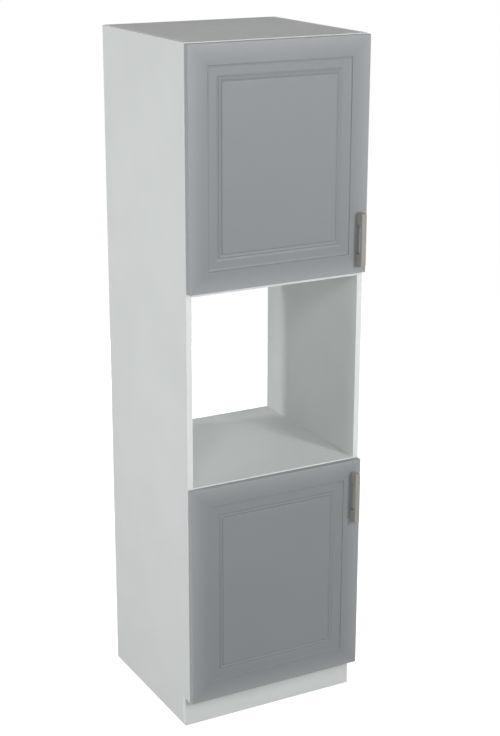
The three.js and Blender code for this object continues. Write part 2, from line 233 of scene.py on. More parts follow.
def bore(bm, centre, outward, radius, deep, sides=16, lip=HOLE_LIP, finish=None):
    """Bore a round blind hole with a small countersink: a scored square is drawn in and rounded."""
    square_share, rim_share = 1.3, 0.1
    reach = radius * square_share + lip
    square = mark_out(bm, centre, outward, reach, reach)
    bmesh.ops.bisect_edges(bm, edges=square.edges[:], cuts=sides // 4 - 1)
    mouth = face_at(bm, centre, outward)
    bmesh.ops.inset_individual(bm, faces=[mouth], thickness=radius * rim_share, use_even_offset=True)
    rim = mouth.verts[:]
    corner = max(range(len(rim)), key=lambda i: (rim[i].co - centre).length)
    arm = (rim[corner].co - centre).normalized() * (radius + lip)
    for step in range(len(rim)):
        turn = Matrix.Rotation(2 * pi * step / len(rim), 3, outward)
        rim[(corner + step) % len(rim)].co = centre + turn @ arm
    if lip:
        bmesh.ops.inset_individual(bm, faces=[mouth], thickness=lip, depth=-lip)
    mouth.normal_update()
    floor = sink(bm, mouth, deep, finish)
    for edge in floor.edges:
        for wall in edge.link_faces:
            wall.smooth = wall is not floor
    return floor


def make_piece(bm, name, *finishes):
    """Turn a finished body into an object that carries these finishes."""
    mesh = bpy.data.meshes.new(name)
    bm.to_mesh(mesh)
    bm.free()
    for finish in finishes:
        mesh.materials.append(finish)
    piece = bpy.data.objects.new(name, mesh)
    bpy.context.scene.collection.objects.link(piece)
    return piece


def thin_way(low, high):
    """The axis along which a board is thinnest."""
    spans = [high[way] - low[way] for way in range(3)]
    return spans.index(min(spans))


def band_board(bm, low, high, raw_foot=False):
    """Melamine on the wide faces, raw board at the rear and perhaps the foot, and band elsewhere."""
    for face in bm.faces:
        middle = face.calc_center_median()
        at_rear = face.normal.y > FACING and middle.y > high.y - BY_FACE
        at_foot = face.normal.z < -FACING and middle.z < low.z + BY_FACE
        if at_rear or raw_foot and at_foot:
            face.material_index = RAW
        elif face.calc_area() < SPECK_AREA or abs(face.normal[thin_way(low, high)]) < FACING:
            face.material_index = BAND


def pin_heights(which):
    """The heights of a cupboard's rows of holes; the middle one holds the shelf pins."""
    pin_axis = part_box(f"{which}_shelf_pin_front_left")[0].z + PIN_COLLAR_RADIUS
    return [pin_axis + HOLE_PITCH * step for step in range(-HOLES_EACH_WAY, HOLES_EACH_WAY + 1)]


for side, inner in (("left", 1), ("right", -1)):
    low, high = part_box(f"{side}_side_panel")
    notch_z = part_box("base_panel")[0].z
    outline = [
        (low.x, low.y + TOE_KICK, low.z), (low.x, high.y, low.z), (low.x, high.y, high.z),
        (low.x, low.y, high.z), (low.x, low.y, notch_z), (low.x, low.y + TOE_KICK, notch_z),
    ]
    panel = push_out(outline, (BOARD, 0, 0))
    ease(panel, panel.edges[:], BAND_ROUND)
    band_board(panel, low, high, raw_foot=True)
    inner_x = high.x if inner > 0 else low.x
    outward = Vector((inner, 0, 0))
    for which in ("lower", "upper"):
        back_low, back_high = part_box(f"{which}_back_panel")
        middle = (back_low + back_high) / 2
        groove = mark_out(
            panel, Vector((inner_x, middle.y, middle.z)), outward,
            (back_high.y - back_low.y) / 2 + GROOVE_GAP, (back_high.z - back_low.z) / 2 + GROOVE_GAP,
        )
        sink(panel, groove, GROOVE_DEEP, RAW)
        for row in ("front", "back"):
            pin_low, pin_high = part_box(f"{which}_shelf_pin_{row}_{side}")
            for height in pin_heights(which):
                centre = Vector((inner_x, (pin_low.y + pin_high.y) / 2, height))
                bore(panel, centre, outward, PIN_HOLE, PIN_HOLE_DEEP, finish=RAW)
    piece = make_piece(panel, f"{side}_side_board", *board_finishes)
    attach(piece, "carcase")
    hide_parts(f"{side}_side_panel")


# Cross boards: the base, the oven shelf, the floor of the upper cupboard and the top, all of the same
# faced chipboard, cut to fit between the side panels and held there by dowels and cam fittings inside
# the boards. The front edge is banded; each has a groove along its rear for the back panel it meets.

TOUCH = 0.000001

for node, back_node, groove_up in (
    ("base_panel", "lower_back_panel", True), ("oven_shelf", "lower_back_panel", False),
    ("upper_cupboard_floor", "upper_back_panel", True), ("top_panel", "upper_back_panel", False),
):
    low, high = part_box(node)
    back_low, back_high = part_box(back_node)
    near, far = back_low.y - GROOVE_GAP, back_high.y + GROOVE_GAP
    if groove_up:
        slot_z = high.z - GROOVE_DEEP
        profile = [
            (low.y, low.z), (high.y, low.z), (high.y, high.z), (far, high.z), (far, slot_z),
            (near, slot_z), (near, high.z), (low.y, high.z),
        ]
    else:
        slot_z = low.z + GROOVE_DEEP
        profile = [
            (low.y, low.z), (near, low.z), (near, slot_z), (far, slot_z), (far, low.z),
            (high.y, low.z), (high.y, high.z), (low.y, high.z),
        ]
    board = push_out([(low.x, y, z) for y, z in profile], (high.x - low.x, 0, 0))
    front = [edge for edge in board.edges if all(vert.co.y < low.y + TOUCH for vert in edge.verts)]
    ease(board, front, BAND_ROUND)
    band_board(board, low, high)
    for face in board.faces:
        if near - BY_FACE < face.calc_center_median().y < far + BY_FACE and face.normal.x == 0:
            face.material_index = RAW
    piece = make_piece(board, f"{node}_board", *board_finishes)
    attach(piece, "carcase")
    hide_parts(node)


# Back panels: 3 mm hardboard with a thin white lacquer, one behind each cupboard, slid into the
# grooves from above before the top goes on. The oven's room has none, so its air and cable get out.

SHEET_ROUND = 0.0003


def hardboard_finish():
    """Lacquer over pressed fibres, a little uneven."""
    material, tree, shader, place = start_finish("white_hardboard", (0.76, 0.785, 0.775), 0.62, gloss=0.25)
    clouds = speckle(tree, place, scale=7.0)
    tint(tree, shader, clouds, dark=(0.74, 0.765, 0.755), light=(0.775, 0.80, 0.79))
    fibres = speckle(tree, place, scale=700.0, detail=4.0)
    emboss(tree, shader, fibres, height=0.00006, strength=0.5)
    return material


def cross_sheet(left, right, bottom, top, y, thick):
    """A flat piece that stands across the unit."""
    return push_out([(left, y, bottom), (right, y, bottom), (right, y, top), (left, y, top)], (0, thick, 0))


white_hardboard = hardboard_finish()

for which in ("lower", "upper"):
    low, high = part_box(f"{which}_back_panel")
    sheet = cross_sheet(low.x, high.x, low.z, high.z, low.y, high.y - low.y)
    ease(sheet, sheet.edges[:], SHEET_ROUND, segments=1)
    piece = make_piece(sheet, f"{which}_back_sheet", white_hardboard)
    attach(piece, "carcase")
    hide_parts(f"{which}_back_panel")


# Plinth board: a strip of the same faced board, set back under the lower door between floor and base.
# It closes the toe kick and is banded on its long edges and both ends.

low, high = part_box("plinth_board")
strip = cross_sheet(low.x, high.x, low.z, high.z, low.y, high.y - low.y)
ease(strip, strip.edges[:], BAND_ROUND)
for face in strip.faces:
    face.material_index = MELAMINE if abs(face.normal.y) > FACING else BAND
piece = make_piece(strip, "plinth_strip", *board_finishes)
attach(piece, "carcase")
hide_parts("plinth_board")


# Floor glides: turned feet of grey plastic, each with a stem knocked into a hole in the foot of a side
# panel, so that the raw edge stands clear of a damp floor.

TREAD_RADIUS = 0.008
TREAD_HIGH = 0.0017
TREAD_STEPS = 48
STEM_RADIUS = 0.0025
STEM_TIP_RADIUS = 0.0018
STEM_TIP_LONG = 0.0008

# The tread's rounded rim: how far in from its side and up from the floor each point lies
TREAD_RIM = ((0.0006, 0), (0.0002, 0.0002), (0, 0.0006), (0, 0.0014), (0.0003, TREAD_HIGH))

# How nearly a flat end faces along its piece's axis, and the angle past which an edge stays sharp
FLAT_END = 0.999
CREASE = radians(35)


def plastic_finish():
    """Moulded grey plastic with a fine grain."""
    material, tree, shader, place = start_finish("grey_plastic", (0.21, 0.215, 0.22), 0.6)
    clouds = speckle(tree, place, scale=160.0)
    tint(tree, shader, clouds, dark=(0.19, 0.195, 0.20), light=(0.235, 0.24, 0.245))
    emboss(tree, shader, speckle(tree, place, scale=1800.0), height=0.00005, strength=0.5)
    return material


def turned(points, foot, along, steps=32, bm=None):
    """A body turned on a lathe, from (radius, height) points that start and end on the axis."""
    if bm is None:
        bm = bmesh.new()
    foot, along = Vector(foot), Vector(along)
    side = along.orthogonal().normalized()
    before = set(bm.verts)
    verts = [bm.verts.new(foot + side * radius + along * height) for radius, height in points]
    edges = [bm.edges.new(pair) for pair in zip(verts, verts[1:])]
    bmesh.ops.spin(
        bm, geom=verts + edges, cent=foot, axis=along, dvec=(0, 0, 0), angle=2 * pi, steps=steps,
        use_merge=True,
    )
    new = [vert for vert in bm.verts if vert not in before]
    bmesh.ops.remove_doubles(bm, verts=new, dist=TOUCH)
    new = [vert for vert in bm.verts if vert not in before]
    faces = {face for vert in new for face in vert.link_faces}
    bmesh.ops.recalc_face_normals(bm, faces=list(faces))
    for face in faces:
        face.smooth = abs(face.normal.dot(along)) < FLAT_END
    flat = [
        edge for edge in {edge for face in faces for edge in face.edges}
        if all(abs(face.normal.dot(along)) > FLAT_END for face in edge.link_faces)
    ]
    bmesh.ops.dissolve_edges(bm, edges=flat, use_verts=False)
    for edge in bm.edges:
        if len(edge.link_faces) == 2 and edge.calc_face_angle() > CREASE:
            edge.smooth = False
    return bm


grey_plastic = plastic_finish()

for row in ("front", "back"):
    for side in ("left", "right"):
        low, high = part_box(f"floor_glide_{row}_{side}")
        middle = (low + high) / 2
        tread = [(0, 0)] + [(TREAD_RADIUS - inset, up) for inset, up in TREAD_RIM]
        stem = [
            (STEM_RADIUS, TREAD_HIGH), (STEM_RADIUS, high.z - STEM_TIP_LONG), (STEM_TIP_RADIUS, high.z),
            (0, high.z),
        ]
        foot = turned(tread + stem, (middle.x, middle.y, 0), (0, 0, 1), TREAD_STEPS)
        piece = make_piece(foot, f"floor_foot_{row}_{side}", grey_plastic)
        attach(piece, "carcase")
        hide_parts(f"floor_glide_{row}_{side}")


# Shelf pins: eight zinc-plated steel pins pushed into the rows of holes, each with a collar that stops
# it and a flat on top where the shelf rests. They keep the solids of the frame and get their plating
# here.

def zinc_finish():
    """Zinc plate on steel, with the faint cloud of the bath."""
    material, tree, shader, place = start_finish("zinc_plate", (0.40, 0.41, 0.425), 0.34, metallic=1.0)
    clouds = speckle(tree, place, scale=260.0)
    tint(tree, shader, clouds, dark=(0.36, 0.37, 0.385), light=(0.45, 0.46, 0.47))
    roughen(tree, shader, speckle(tree, place, scale=900.0), smooth=0.26, rough=0.42)
    emboss(tree, shader, speckle(tree, place, scale=1500.0), height=0.00002, strength=0.4)
    return material


zinc_plate = zinc_finish()

for which in ("lower", "upper"):
    for row in ("front", "back"):
        for side in ("left", "right"):
            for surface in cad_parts[f"{which}_shelf_pin_{row}_{side}"].material_slots:
                surface.material = zinc_plate


# Shelves: one loose board of 16 mm in each cupboard, banded at the front, lying on its four pins so
# that it can be moved to another height.

def side_sheet(near, far, bottom, top, x, thick):
    """A flat piece pushed out from an outline that looks to the side."""
    return push_out([(x, near, bottom), (x, far, bottom), (x, far, top), (x, near, top)], (thick, 0, 0))


for which in ("lower", "upper"):
    low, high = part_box(f"{which}_shelf")
    board = side_sheet(low.y, high.y, low.z, high.z, low.x, high.x - low.x)
    ease(board, board.edges[:], BAND_ROUND)
    band_board(board, low, high)
    piece = make_piece(board, f"{which}_shelf_board", *board_finishes)
    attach(piece, "carcase")
    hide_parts(f"{which}_shelf")


# Hinge cups: pressed steel cups, 35 mm wide, let into bored seats in the back of each door, two to a
# door. A flange with two countersunk screws holds each, and the hinge's arm reaches into its hollow.

CUP_RADIUS = 0.0175
CUP_STEPS = 64
CUP_RIM_ROUND = 0.0003
HOLLOW_X = 0.0148
HOLLOW_Z = 0.0072
HOLLOW_DEEP = 0.0131
HOLLOW_ROUND = 0.002
FLANGE_LEFT = 0.008
FLANGE_RIGHT = 0.016
FLANGE_INNER = 0.0095
FLANGE_OUTER = 0.026
FLANGE_BELOW_RIM = 0.0009
FLANGE_THICK = 0.0008
FLANGE_ROUND = 0.006
CUP_SCREW_RIGHT = 0.0045
CUP_SCREW_UP = 0.0212
CUP_SCREW_DEEP = 0.010
SCREW_TIP = 0.0006
SCREW_POINT = 0.0016
SCREW_STEPS = 24

# The cup's rounded foot: how far in from its side and up from its bottom each point lies
CUP_FOOT = ((0.0018, 0), (0.0004, 0.0009), (0, 0.0024))

# Shares of a screw head's radius: its shoulder, its flat crown, and the length and width of its cross
SHOULDER_SHARE = 0.82
CROWN_SHARE = 0.7
CROSS_LONG_SHARE = 0.52
CROSS_WIDE_SHARE = 0.13

# Shares of a screw head's height: how far the shoulder lies under the crown, and the depth of the cross
SHOULDER_DROP_SHARE = 0.08
CROSS_DEEP_SHARE = 0.4


def nickel_plate_finish():
    """Bright nickel on pressed steel, a little worn by handling."""
    material, tree, shader, place = start_finish("nickel_plate", (0.52, 0.523, 0.526), 0.3, metallic=1.0)
    clouds = speckle(tree, place, scale=120.0)
    tint(tree, shader, clouds, dark=(0.50, 0.503, 0.506), light=(0.54, 0.543, 0.546))
    roughen(tree, shader, speckle(tree, place, scale=350.0), smooth=0.27, rough=0.33)
    emboss(tree, shader, speckle(tree, place, scale=1200.0), height=0.00002, strength=0.3)
    return material


def cross_recess(bm, centre, outward, arm, width, deep):
    """Press a cross for the screwdriver into a flat screw head."""
    mark_out(bm, centre, outward, width, width)
    way_a, way_b = ways_across(outward)
    cells = [centre]
    for way, reach_a, reach_b in ((way_a, arm, width), (way_b, width, arm)):
        for turn in (1, -1):
            cell = centre + way * turn * (arm + width) / 2
            mark_out(bm, centre, outward, reach_a, reach_b, inside=cell)
            cells.append(cell)
    cross = [face_at(bm, cell, outward) for cell in cells]
    pressed = bmesh.ops.extrude_face_region(bm, geom=cross)["geom"]
    bmesh.ops.translate(bm, vec=-outward * deep, verts=verts_in(pressed))


def screw(foot, along, shaft, length, head, head_high, dome=0.5, bm=None):
    """A turned screw from the tip of its shaft to its head, with a cross in the head."""
    foot, along = Vector(foot), Vector(along)
    crown = length + head_high
    shoulder = crown - head_high * SHOULDER_DROP_SHARE
    shank = [(0, 0), (shaft / 2, SCREW_TIP), (shaft, SCREW_POINT), (shaft, length)]
    cap = [
        (head, length), (head, length + head_high * dome), (head * SHOULDER_SHARE, shoulder),
        (head * CROWN_SHARE, crown), (0, crown),
    ]
    bm = turned(shank + cap, foot, along, SCREW_STEPS, bm)
    cross_recess(
        bm, foot + along * crown, along, head * CROSS_LONG_SHARE, head * CROSS_WIDE_SHARE,
        head_high * CROSS_DEEP_SHARE,
    )
    return bm


def join_in(bm, part):
    """Add a finished body to another of the same piece."""
    loose = bpy.data.meshes.new("part")
    part.to_mesh(loose)
    bm.from_mesh(loose)
    bpy.data.meshes.remove(loose)
    part.free()


nickel_plate = nickel_plate_finish()

for which in ("lower", "upper"):
    for end in ("bottom", "top"):
        low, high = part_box(f"{which}_hinge_cup_{end}")
        middle = (low + high) / 2
        deep = high.y - low.y
        backward = Vector((0, 1, 0))
        foot = [(0, 0)] + [(CUP_RADIUS - inset, up) for inset, up in CUP_FOOT]
        rim = [(CUP_RADIUS, deep - CUP_RIM_ROUND), (CUP_RADIUS - CUP_RIM_ROUND, deep), (0, deep)]
        cup = turned(foot + rim, (middle.x, low.y, middle.z), backward, CUP_STEPS)
        hollow = mark_out(cup, Vector((middle.x, high.y, middle.z)), backward, HOLLOW_X, HOLLOW_Z)
        sink(cup, hollow, HOLLOW_DEEP)
        corners = [
            edge for edge in cup.edges
            if abs(edge.verts[0].co.y - edge.verts[1].co.y) > HOLLOW_DEEP / 2
            and abs(abs(edge.verts[0].co.z - middle.z) - HOLLOW_Z) < ON_FACE
            and abs(abs(edge.verts[0].co.x - middle.x) - HOLLOW_X) < ON_FACE
        ]
        ease(cup, corners, HOLLOW_ROUND, segments=4)
        for up in (1, -1):
            outer = middle.z + up * FLANGE_OUTER
            wing = cross_sheet(
                middle.x - FLANGE_LEFT, middle.x + FLANGE_RIGHT, middle.z + up * FLANGE_INNER, outer,
                high.y - FLANGE_BELOW_RIM, FLANGE_THICK,
            )
            rounded = [
                edge for edge in wing.edges if all(abs(vert.co.z - outer) < TOUCH for vert in edge.verts)
                and abs(edge.verts[0].co.y - edge.verts[1].co.y) > FLANGE_THICK / 2
            ]
            ease(wing, rounded, FLANGE_ROUND, segments=6)
            join_in(cup, wing)
        piece = make_piece(cup, f"{which}_cup_{end}", nickel_plate)
        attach(piece, f"{which}_door")
        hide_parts(f"{which}_hinge_cup_{end}")
        screws = bmesh.new()
        for up in (1, -1):
            tip = (middle.x + CUP_SCREW_RIGHT, high.y - CUP_SCREW_DEEP, middle.z + up * CUP_SCREW_UP)
            screw(tip, backward, shaft=0.0016, length=0.0099, head=0.0033, head_high=0.0006, dome=0.3,
                  bm=screws)
        piece = make_piece(screws, f"{which}_cup_screws_{end}", nickel_plate)
        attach(piece, f"{which}_door")


# Hinge links: stamped steel links with rolled ends, each turning on its arm's pin and moving in the
# cup. They keep the solids of the frame and get their plating here.

for which in ("lower", "upper"):
    for end in ("bottom", "top"):
        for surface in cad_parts[f"{which}_hinge_link_{end}"].material_slots:
            surface.material = nickel_plate


# Mounting plates: cast plates screwed to the side panel, with a raised rail that the hinge's arm
# clips over and a wing with a screw above and below.

RAIL_START = 0.022
RAIL_END = 0.072
RAIL_HALF = 0.009
RAIL_HIGH = 0.004
RAIL_ROUND = 0.0025
WING_START = 0.030
WING_END = 0.044
WING_HALF = 0.026
WING_HIGH = 0.0024
WING_ROUND = 0.006
PLATE_EDGE = 0.0005
PLATE_SCREW_UP = 0.0175
PLATE_SCREW_DEEP = 0.011
HEAD_SUNK = 0.0002

carcase_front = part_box("left_side_panel")[0].y


def cast_plate(start, end, middle_z, half, x, thick, corner, segments):
    """A flat bar on the side panel with rounded corners and an eased crest."""
    near, far = carcase_front + start, carcase_front + end
    plate = side_sheet(near, far, middle_z - half, middle_z + half, x, thick)
    upright = [
        edge for edge in plate.edges if abs(edge.verts[0].co.x - edge.verts[1].co.x) > thick / 2
    ]
    ease(plate, upright, corner, segments)
    crest = face_at(plate, Vector((x + thick, (near + far) / 2, middle_z)), Vector((1, 0, 0)))
    ease(plate, crest.edges[:], PLATE_EDGE)
    return plate


for which in ("lower", "upper"):
    for end in ("bottom", "top"):
        low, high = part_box(f"{which}_hinge_plate_{end}")
        middle_z = (low.z + high.z) / 2
        plate = cast_plate(
            RAIL_START, RAIL_END, middle_z, RAIL_HALF, low.x, RAIL_HIGH, RAIL_ROUND, segments=4,
        )
        wings = cast_plate(
            WING_START, WING_END, middle_z, WING_HALF, low.x, WING_HIGH, WING_ROUND, segments=6,
        )
        join_in(plate, wings)
        piece = make_piece(plate, f"{which}_mounting_plate_{end}", nickel_plate)
        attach(piece, "carcase")
        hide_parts(f"{which}_hinge_plate_{end}")
        screws = bmesh.new()
        screw_y = carcase_front + (WING_START + WING_END) / 2
        for up in (1, -1):
            tip = (low.x - PLATE_SCREW_DEEP, screw_y, middle_z + up * PLATE_SCREW_UP)
            screw(tip, (1, 0, 0), shaft=0.0024, length=PLATE_SCREW_DEEP + WING_HIGH - HEAD_SUNK,
                  head=0.004, head_high=0.0012, dome=0.3, bm=screws)
        piece = make_piece(screws, f"{which}_mounting_screws_{end}", zinc_plate)
        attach(piece, "carcase")


# Hinge arms: folded steel arms clipped over the mounting plates. Two cheeks at the front carry the
# pin that the link turns on, and two screws in slots on top set the door's place.

ARM_FRONT = 0.004
ARM_SHOULDER = 0.024
ARM_REAR = 0.066
ARM_NOSE = 0.008
ARM_HALF = 0.007
FOLD_ROUND = 0.0014
TAIL_ROUND = 0.003
SLOT_DEEP = 0.0012
CHEEK_IN = 0.0043
CHEEK_OUT = 0.0055
CHEEK_SUNK = 0.0003
PIN_EYE = 0.0018
PIN_RADIUS = 0.0009
PIN_SHORT = 0.0003
CHEEK_ROUND = PIN_EYE * 0.97
ARM_SCREW_SHAFT = 0.0018
ARM_SCREW_LONG = 0.0034
ARM_SCREW_DEEP = 0.004

# For each screw: how far back it sits, half the length and width of its slot, and its head
ARM_SCREWS = (
    (0.030, 0.0065, 0.0022, 0.0032, 0.0016),
    (0.0535, 0.0075, 0.0026, 0.0036, 0.0018),
)

for which in ("lower", "upper"):
    for end in ("bottom", "top"):
        low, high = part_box(f"{which}_hinge_arm_{end}")
        middle_z = (low.z + high.z) / 2
        inward = Vector((1, 0, 0))
        profile = (
            (high.x, ARM_FRONT), (high.x, ARM_REAR), (low.x, ARM_REAR), (low.x, ARM_SHOULDER),
            (high.x - ARM_NOSE, ARM_FRONT),
        )
        arm = push_out(
            [(x, carcase_front + back, middle_z - ARM_HALF) for x, back in profile], (0, 0, 2 * ARM_HALF),
        )
        folds = [edge for edge in arm.edges if all(vert.co.x > high.x - TOUCH for vert in edge.verts)]
        ease(arm, folds, FOLD_ROUND, segments=4)
        rear_y = carcase_front + ARM_REAR
        tail = [
            edge for edge in arm.edges if all(vert.co.y > rear_y - TOUCH for vert in edge.verts)
            and abs(edge.verts[0].co.x - edge.verts[1].co.x) > ARM_NOSE / 2
        ]
        ease(arm, tail, TAIL_ROUND, segments=5)
        for back, half_long, half_wide, head, head_high in ARM_SCREWS:
            centre = Vector((high.x, carcase_front + back, middle_z))
            sink(arm, mark_out(arm, centre, inward, half_long, half_wide), SLOT_DEEP)
        pin_x, pin_y = high.x - PIN_EYE, low.y + PIN_EYE
        root_y = carcase_front + ARM_FRONT + PIN_EYE
        for near, far in ((CHEEK_IN, CHEEK_OUT), (-CHEEK_OUT, -CHEEK_IN)):
            cheek = push_out(
                [(pin_x - PIN_EYE, pin_y - PIN_EYE, middle_z + near),
                 (pin_x + PIN_EYE, pin_y - PIN_EYE, middle_z + near),
                 (pin_x + PIN_EYE - CHEEK_SUNK, root_y + PIN_EYE, middle_z + near),
                 (pin_x - PIN_EYE, root_y + PIN_EYE, middle_z + near)],
                (0, 0, far - near),
            )
            tip = [
                edge for edge in cheek.edges if all(vert.co.y < pin_y for vert in edge.verts)
                and abs(edge.verts[0].co.z - edge.verts[1].co.z) > (CHEEK_OUT - CHEEK_IN) / 2
            ]
            ease(cheek, tip, CHEEK_ROUND, segments=6)
            join_in(arm, cheek)
        pin_long = 2 * (CHEEK_OUT - PIN_SHORT)
        turned(
            [(0, 0), (PIN_RADIUS, 0), (PIN_RADIUS, pin_long), (0, pin_long)],
            (pin_x, pin_y, middle_z - CHEEK_OUT + PIN_SHORT), (0, 0, 1), steps=16, bm=arm,
        )
        piece = make_piece(arm, f"{which}_arm_{end}", nickel_plate)
        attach(piece, "carcase")
        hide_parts(f"{which}_hinge_arm_{end}")
        screws = bmesh.new()
        for back, half_long, half_wide, head, head_high in ARM_SCREWS:
            foot = (high.x - ARM_SCREW_DEEP, carcase_front + back, middle_z)
            screw(foot, inward, ARM_SCREW_SHAFT, ARM_SCREW_LONG, head, head_high, bm=screws)
        piece = make_piece(screws, f"{which}_arm_screws_{end}", zinc_plate)
        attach(piece, "carcase")


# Doors: 18 mm fibreboard. A cutter sinks the panel into the front, leaving a flat frame, a sloping
# step, a ledge and a double groove round the field, and rounds the outer edge. Grey foil is pressed
# over front and edges; the back is plain white with bored seats for hinge cups, bumpers and screws.

DOOR_ROUND = 0.0018
ROUND_STEPS = 5
FRAME = 0.061
SLOPE = 0.0085
LEDGE_DEEP = 0.0038
LEDGE = 0.0205
BEAD = 0.023
BEAD_DEEP = 0.0062
CUP_SEAT = 0.0178
SEAT_LIP = 0.0002
SEAT_GAP = 0.0003
BUMPER_HOLE = 0.0026
BUMPER_HOLE_DEEP = 0.0065
BOLT_HOLE = 0.0025
FOIL, DOOR_BACK = 0, 1
# Painted highlight: the paler foil colour painted over the outer half of each door's frame, and how it
# fades inward
PAINTED_HIGHLIGHT_FOIL = (0.36, 0.373, 0.386, 1)
PAINTED_HIGHLIGHT_FALLOFF = 1.4

# Shares of the slope's width and the ledge's depth, and of the bead's width and depth
SLOPE_SHARES = ((0, 0), (0.06, 0.5), (0.13, 0.62), (0.35, 0.8), (0.65, 0.94), (1, 1))
BEAD_SHARES = (
    (0, 0.655), (0.12, 0.76), (0.22, 0.94), (0.285, 1), (0.335, 0.6), (0.39, 0.53), (0.47, 0.56),
    (0.58, 0.72), (0.68, 0.94), (0.73, 0.98), (0.775, 0.55), (0.84, 0.47), (1, 0.448),
)


def foil_finish():
    """Satin foil, with a painted highlight: the colour is painted paler towards the door's outer edge."""
    material, tree, shader, place = start_finish("grey_foil", (0.273, 0.287, 0.3), 0.46, gloss=0.35)
    clouds = speckle(tree, place, scale=3.0)
    even = tint(tree, shader, clouds, dark=(0.269, 0.283, 0.296), light=(0.277, 0.291, 0.304))
    painted_highlight = tree.nodes.new("ShaderNodeAttribute")
    painted_highlight.attribute_name = "painted_highlight"
    soften = tree.nodes.new("ShaderNodeMath")
    soften.operation = "POWER"
    soften.inputs[1].default_value = PAINTED_HIGHLIGHT_FALLOFF
    tree.links.new(painted_highlight.outputs["Fac"], soften.inputs[0])
    # Painted highlight: mix the paler colour in where the door's outer frame is marked
    painted_highlight_mix = tree.nodes.new("ShaderNodeMix")
    painted_highlight_mix.data_type = "RGBA"
    painted_highlight_mix.inputs["B"].default_value = PAINTED_HIGHLIGHT_FOIL
    tree.links.new(soften.outputs[0], painted_highlight_mix.inputs["Factor"])
    tree.links.new(even, painted_highlight_mix.inputs["A"])
    tree.links.new(painted_highlight_mix.outputs["Result"], shader.inputs["Base Color"])
    roughen(tree, shader, speckle(tree, place, scale=40.0), smooth=0.42, rough=0.5)
    emboss(tree, shader, speckle(tree, place, scale=1100.0), height=0.00003, strength=0.3)
    return material


grey_foil = foil_finish()


def cutter_path():
    """How far in from the door's edge each line of the routed front lies, and how deep."""
    turns = [pi / 2 * step / ROUND_STEPS for step in range(ROUND_STEPS + 1)]
    path = [(DOOR_ROUND * (1 - cos(turn)), DOOR_ROUND * (1 - sin(turn))) for turn in turns]
    path += [(FRAME + across * SLOPE, down * LEDGE_DEEP) for across, down in SLOPE_SHARES]
    start = FRAME + SLOPE + LEDGE
    return path + [(start + across * BEAD, down * BEAD_DEEP) for across, down in BEAD_SHARES]


def mark_mitres(bm):
    """Make the short edges sharp where the long routed strips meet at the corners."""
    short, long = 0.05, 0.1
    for edge in bm.edges:
        strips = [face for face in edge.link_faces if max(rim.calc_length() for rim in face.edges) > long]
        if edge.calc_length() < short and strips:
            edge.smooth = False


def routed_door(low, high):
    """A door blank with its front rolled over the edge and cut step by step into the panel."""
    front = low.y + DOOR_ROUND
    blank = cross_sheet(low.x, high.x, low.z, high.z, high.y, front - high.y)
    upright = [
        edge for edge in blank.edges if abs(edge.verts[0].co.y - edge.verts[1].co.y) > DOOR_ROUND / 2
    ]
    ease(blank, upright, DOOR_ROUND, segments=6)
    middle = (low + high) / 2
    wide, tall = high.x - low.x, high.z - low.z
    face = face_at(blank, Vector((middle.x, front, middle.z)), Vector((0, -1, 0)))
    path = cutter_path()
    for (inset, deep), (next_inset, next_deep) in zip(path, path[1:]):
        face = bmesh.ops.extrude_discrete_faces(blank, faces=[face])["faces"][0]
        narrower = (wide - 2 * next_inset) / (wide - 2 * inset)
        lower = (tall - 2 * next_inset) / (tall - 2 * inset)
        bmesh.ops.scale(
            blank, vec=(narrower, 1, lower), space=Matrix.Translation(-middle), verts=face.verts,
        )
        bmesh.ops.translate(blank, vec=(0, next_deep - deep, 0), verts=face.verts)
    blank.normal_update()
    # Painted highlight: mark the outer half of the frame, where the foil colour is painted paler
    painted_highlight = blank.verts.layers.float.new("painted_highlight")
    for vert in blank.verts:
        from_edge = min(vert.co.x - low.x, high.x - vert.co.x, vert.co.z - low.z, high.z - vert.co.z)
        vert[painted_highlight] = 1 if from_edge < FRAME / 2 else 0
    for side in blank.faces:
        if 1 - PARALLEL < abs(side.normal.y) < PARALLEL:
            side.smooth = True
        side.material_index = DOOR_BACK if side.normal.y > FACING else FOIL
    mark_mitres(blank)
    return blank


for which in ("lower", "upper"):
    low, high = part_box(f"{which}_door")
    door = routed_door(low, high)
    backward = Vector((0, 1, 0))
    for end in ("bottom", "top"):
        cup_low, cup_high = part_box(f"{which}_hinge_cup_{end}")
        seat = Vector(((cup_low.x + cup_high.x) / 2, high.y, (cup_low.z + cup_high.z) / 2))
        seat_deep = high.y - cup_low.y + SEAT_GAP
        bore(door, seat, backward, CUP_SEAT, seat_deep, sides=48, lip=SEAT_LIP, finish=DOOR_BACK)
        bumper_low, bumper_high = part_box(f"{which}_door_bumper_{end}")
        seat = Vector(((bumper_low.x + bumper_high.x) / 2, high.y, (bumper_low.z + bumper_high.z) / 2))
        bore(door, seat, backward, BUMPER_HOLE, BUMPER_HOLE_DEEP, lip=SEAT_LIP, finish=DOOR_BACK)
        bolt_low, bolt_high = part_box(f"{which}_handle_screw_{end}")
        bolt = (bolt_low + bolt_high) / 2
        bolt_back, bolt_front = Vector((bolt.x, high.y, bolt.z)), Vector((bolt.x, low.y, bolt.z))
        from_back = bore(door, bolt_back, backward, BOLT_HOLE, BOARD / 2, lip=0, finish=DOOR_BACK)
        from_front = bore(door, bolt_front, -backward, BOLT_HOLE, BOARD / 2, lip=0, finish=DOOR_BACK)
        bmesh.ops.delete(door, geom=[from_back, from_front], context="FACES_ONLY")
        bmesh.ops.remove_doubles(door, verts=door.verts, dist=2 * TOUCH)
    piece = make_piece(door, f"{which}_door_leaf", grey_foil, white_melamine)
    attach(piece, f"{which}_door")
    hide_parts(f"{which}_door")


# Handles: a cast bow on each door, ground flat and brushed lengthways before a warm nickel plate.
# The bar swells into two wide feet, and a screw from the back of the door holds each foot.

HANDLE_BAR = 0.009
HANDLE_FOOT = 0.036
HANDLE_OUTER = 0.007
HANDLE_INNER = 0.008
HANDLE_LEAN = 0.005
HANDLE_EDGE = 0.001
ARC_STEPS = 10
BOW_CREASE = radians(32)


